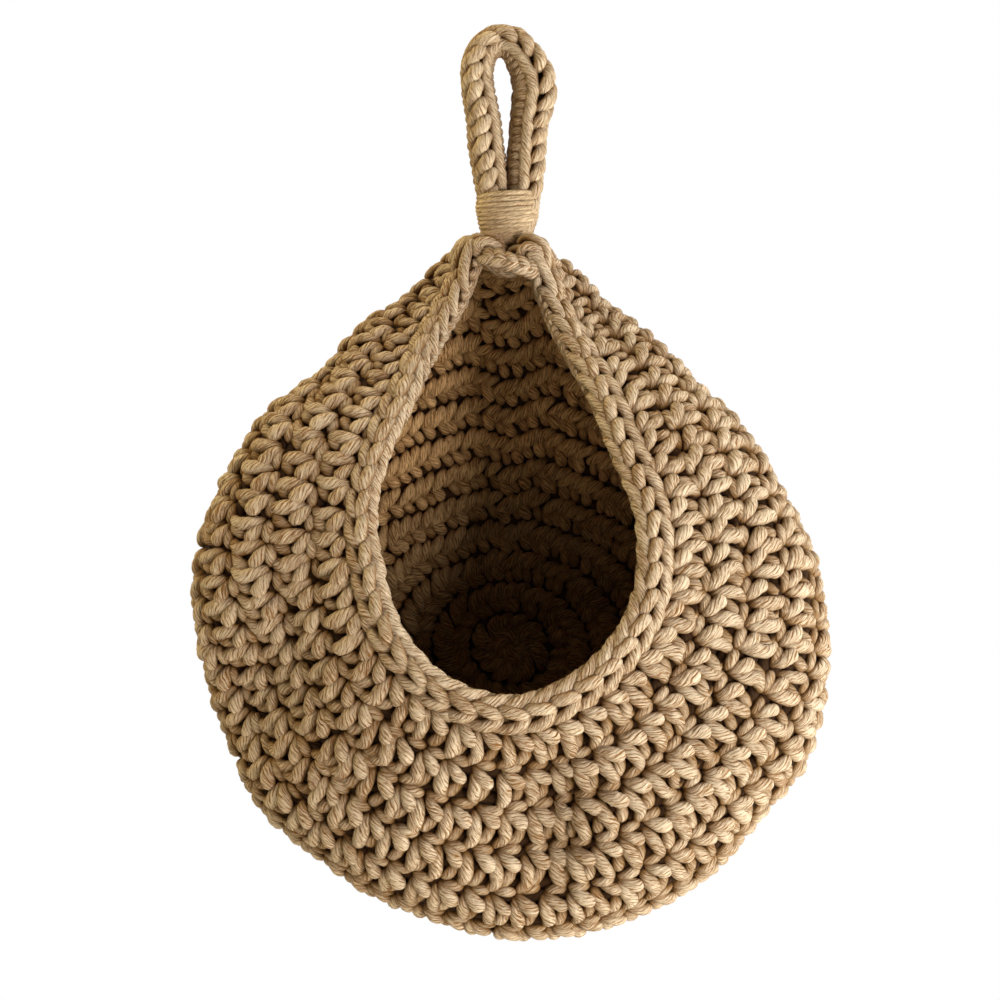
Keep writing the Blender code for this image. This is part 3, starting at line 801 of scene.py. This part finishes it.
# Places on the band: along in links, degrees round from its front, share of its half width
BEAD = ((-0.56, -20, 0.4), (-0.38, -17, 0.84), (0.0, -2, 1.02), (0.36, 13, 0.88), (0.54, 17, 0.4))
SIDE_BEAD = (
    (-0.5, -42, 0.4), (-0.32, -42, 0.8), (0.1, -33, 0.86), (0.5, -20, 0.72), (0.62, -16, 0.4),
)
SIDE_RIB = (
    (-0.1, -150, 0.3), (0.0, -140, 0.62), (0.12, -95, 0.76), (0.3, -56, 0.66), (0.36, -46, 0.3),
)
RUNG = (
    (0.08, 46, 0.5), (0.05, 58, 0.74), (0.0, 92, 0.84), (-0.05, 134, 0.72), (-0.08, 146, 0.4),
)
BACK_BEAD = tuple((along, turn + 180, reach) for along, turn, reach in BEAD)
BACK_SIDE_BEAD = tuple((along, turn + 180, reach) for along, turn, reach in SIDE_BEAD)
STRAP_CORDS = ((50, 0.84, 2.6), (132, 0.74, 2.5), (-62, 0.7, 2.6), (-125, 0.7, 2.6))
STRAP_CORE = (0, 0, 4.8)

spine = np.array([[(x * MM, 0.0, up * MM, share) for x, up, share in STRAP_ROUTE]])
spine = smooth_route(spine, 12)[0]
spine_share = spine[:, 3]
spine = spine[:, :3]
spine_length = lengths_along(spine)
spine_run = unit(np.gradient(spine, axis=0))


def on_strap(distance, degrees, reach):
    """A place on the strap: distance along, angle from its front to the hole, share of its size."""
    distance, degrees, reach = np.broadcast_arrays(np.asarray(distance, float), degrees, reach)
    at = places_along(spine, spine_length, distance)
    run = unit(places_along(spine_run, spine_length, distance))
    share = distance / spine_length[-1]
    twist = STRAP_TWIST / (1 + np.exp((TWIST_AT - share) * TWIST_SHARPNESS))
    turned = np.radians(degrees - STRAP_TURN - twist)
    front = np.zeros(run.shape)
    front[..., 1] = -1
    inward = np.cross(run, front)
    gathered = GATHERED / (1 + np.exp((at[..., 2] / MM - GATHER_Z) / 2.5))
    pinch = np.interp(distance, spine_length, spine_share) * (1 - gathered)
    deep = front * (np.cos(turned) * STRAP_HALF_DEPTH * pinch * reach)[..., None]
    wide = inward * (np.sin(turned) * STRAP_HALF_WIDTH * pinch * reach)[..., None]
    facing = deep + wide
    return at + facing, facing / np.maximum(np.linalg.norm(facing, axis=-1, keepdims=True), 1e-9)


chain_at = np.arange(1 * MM, spine_length[-1] - 8 * MM, CHAIN_LINK)
between = chain_at + CHAIN_LINK / 2
rung_at = np.arange(2 * MM, spine_length[-1] - 2 * MM, RUNG_PITCH)
batches = []
# Painted shade: the height given with each batch, from its share of the band's size, sets how dark
# the strap's strands are
for base_at, half, shape in (
    (chain_at, 2.9 * MM, BEAD), (between, 2.3 * MM, SIDE_BEAD),
    (chain_at, 2.9 * MM, BACK_BEAD), (between, 2.3 * MM, BACK_SIDE_BEAD),
    (chain_at, 2.2 * MM, SIDE_RIB), (between, 2.2 * MM, SIDE_RIB), (rung_at, 2.1 * MM, RUNG),
):
    places = []
    for along, turn, reach in shape:
        places.append(np.broadcast_arrays(base_at + along * CHAIN_LINK, turn, reach))
    places = np.array(places).transpose(2, 0, 1)
    places = places + strays(places.shape) * (0.02 * CHAIN_LINK, 2.0, 0.015)
    points, facing = on_strap(places[..., 0], places[..., 1], places[..., 2])
    routes = smooth_route(np.concatenate((points, places[..., 2:]), axis=2), 4)
    width = half * tapered(routes.shape[1])
    batches.append((routes[..., :3], width, facing.mean(axis=1), routes[..., 3] * 8 - 3.4))
steps = np.linspace(0, spine_length[-1], 160)
sway = 1.5 * np.sin(steps / CHAIN_LINK * 2 * math.pi)
for turn, reach, half in (*STRAP_CORDS, STRAP_CORE):
    points, facing = on_strap(steps, turn + sway, max(reach, 0.02))
    batches.append((points[None], half * MM, facing[None], reach * 4.5))
strap_finish = cotton(
    "strap_cord", (0.81, 0.605, 0.38), (0.28, 0.13, 0.035), CORD_PAINTED_SHADE, grooves=0.7
)
dress(strands("strap_band", batches), strap_finish, "hanging_strap", "hanger")


# The binding: one thinner cord wound tightly twelve times round the gathered ends of the strap,
# narrower towards its foot, its turns a little slanted and pressed together.
BINDING_TOP = -61 * MM
BINDING_FOOT = -83.5 * MM
WINDING_TURNS = 12
WINDING_CORD = 2.15 * MM
NECK_FLATNESS = 0.74
NECK_SHIFT = 0.2 * MM
NECK_DOWN = (0, 0.2, 0.5, 0.8, 1)
NECK_HALF_WIDTHS = (13.2, 13.6, 12.6, 10.6, 8.8)
turn_at = np.linspace(0, WINDING_TURNS, WINDING_TURNS * 32 + 1)
drop = turn_at / WINDING_TURNS
angle = 2 * math.pi * turn_at + math.pi
wide = np.interp(drop, NECK_DOWN, NECK_HALF_WIDTHS) * MM
deep = wide * NECK_FLATNESS
slant = 1.2 * MM * np.cos(angle) + 1.3 * MM * np.sin(angle) * np.sin(math.pi * drop)
slant = slant + 0.25 * MM * np.sin(turn_at * 5.3)
height = BINDING_TOP - 1 * MM + (BINDING_FOOT - BINDING_TOP) * drop + slant
points = np.stack((wide * np.cos(angle) + NECK_SHIFT, deep * np.sin(angle), height), axis=1)
facing = np.stack((np.cos(angle), np.sin(angle) / NECK_FLATNESS, 0 * angle), axis=1)
half = WINDING_CORD / 2 * (1 + 0.08 * np.sin(turn_at * 7.1))
# Painted shade: the winding is given a height of 4.6 mm, which sets its painted shade
winding = strands("binding_turns", [(points[None], half[None], facing[None], 4.6)])
binding_finish = cotton(
    "binding_cord", (0.84, 0.62, 0.37), (0.4, 0.23, 0.1), (0.1, 0.05, 0.016), plies=4, lay=30.0,
    grooves=0.6,
)
dress(winding, binding_finish, "binding", "hanger")


# The picture: a level camera in front of the mouth, a white room and a pale floor below. The light
# comes from the lower right, with a warm lamp at the upper left and soft ones above and behind.
CAMERA = (-3.3 * MM, -920 * MM, -198.2 * MM)
FILM_WIDTH = 36
FOCAL_SHARE = 2057 / 1000
AIM = Vector((0, 0, -0.24))
lens = bpy.data.cameras.new("camera")
lens.sensor_width = FILM_WIDTH
lens.lens = FILM_WIDTH * FOCAL_SHARE
camera = bpy.data.objects.new("camera", lens)
camera.location = CAMERA
camera.rotation_euler = (math.pi / 2, 0, 0)
bpy.context.collection.objects.link(camera)
bpy.context.scene.camera = camera
bpy.context.scene.view_settings.view_transform = "Standard"

for name, place, size, watts, colour in (
    ("key_lamp", (0.95, -1.1, -0.35), 0.4, 14.5, (1, 0.95, 0.93)),
    ("side_lamp", (1.28, -0.3, -0.35), 0.5, 15.5, (0.82, 0.92, 1)),
    ("floor_lamp", (0.55, -0.3, -0.57), 0.4, 2.4, (0.72, 0.87, 1)),
    ("left_lamp", (-1.05, 0.05, 0.8), 0.8, 20, (1, 0.88, 0.52)),
    ("top_lamp", (0.1, 0.1, 1.1), 0.8, 8, (1, 0.92, 0.7)),
    ("back_lamp", (0.3, 1.4, 0.6), 1.2, 16, (1, 1, 1)),
):
    light = bpy.data.lights.new(name, "AREA")
    light.size = size
    light.energy = watts
    light.color = colour
    lamp = bpy.data.objects.new(name, light)
    lamp.location = place
    lamp.rotation_euler = (AIM - Vector(place)).to_track_quat("-Z", "Y").to_euler()
    bpy.context.collection.objects.link(lamp)

ROOM_LIGHT = 0.025
world = bpy.data.worlds.new("studio")
bpy.context.scene.world = world
world.use_nodes = True
air = Wire(world.node_tree)
rays = air.node("ShaderNodeLightPath")
seen = air.maths("MAXIMUM", air.of(rays, "Is Camera Ray"), air.of(rays, "Is Glossy Ray"))
seen = air.maths("MAXIMUM", seen, air.of(rays, "Is Transmission Ray"))
backdrop = world.node_tree.nodes["Background"]
backdrop.inputs[0].default_value = (1, 1, 1, 1)
strength = seen * (1 - ROOM_LIGHT) + ROOM_LIGHT
world.node_tree.links.new(strength.socket, backdrop.inputs[1])

FLOOR_Z = -0.62
FLOOR_GLOW = 0.82
floor_corners = [(-1.5, -1.6), (1.5, -1.6), (1.5, 0.8), (-1.5, 0.8)]
floor_mesh = bpy.data.meshes.new("floor")
floor_mesh.from_pydata([(x, y, FLOOR_Z) for x, y in floor_corners], [], [(0, 1, 2, 3)])
floor = bpy.data.objects.new("floor", floor_mesh)
bpy.context.collection.objects.link(floor)
pale = bpy.data.materials.new("pale_floor")
pale.use_nodes = True
floor_nodes = pale.node_tree.nodes
paint = floor_nodes["Principled BSDF"]
paint.inputs["Base Color"].default_value = (0.9, 0.9, 0.9, 1)
paint.inputs["Roughness"].default_value = 0.9
ground = Wire(pale.node_tree)
glow = ground.of(ground.node("ShaderNodeEmission", Color=(1, 1, 1, 1), Strength=1.0))
seen = ground.of(ground.node("ShaderNodeLightPath"), "Is Camera Ray")
cover = ground.node("ShaderNodeMixShader", _0=seen * FLOOR_GLOW, _1=ground.of(paint), _2=glow)
pale.node_tree.links.new(cover.outputs[0], floor_nodes["Material Output"].inputs[0])
floor_mesh.materials.append(pale)
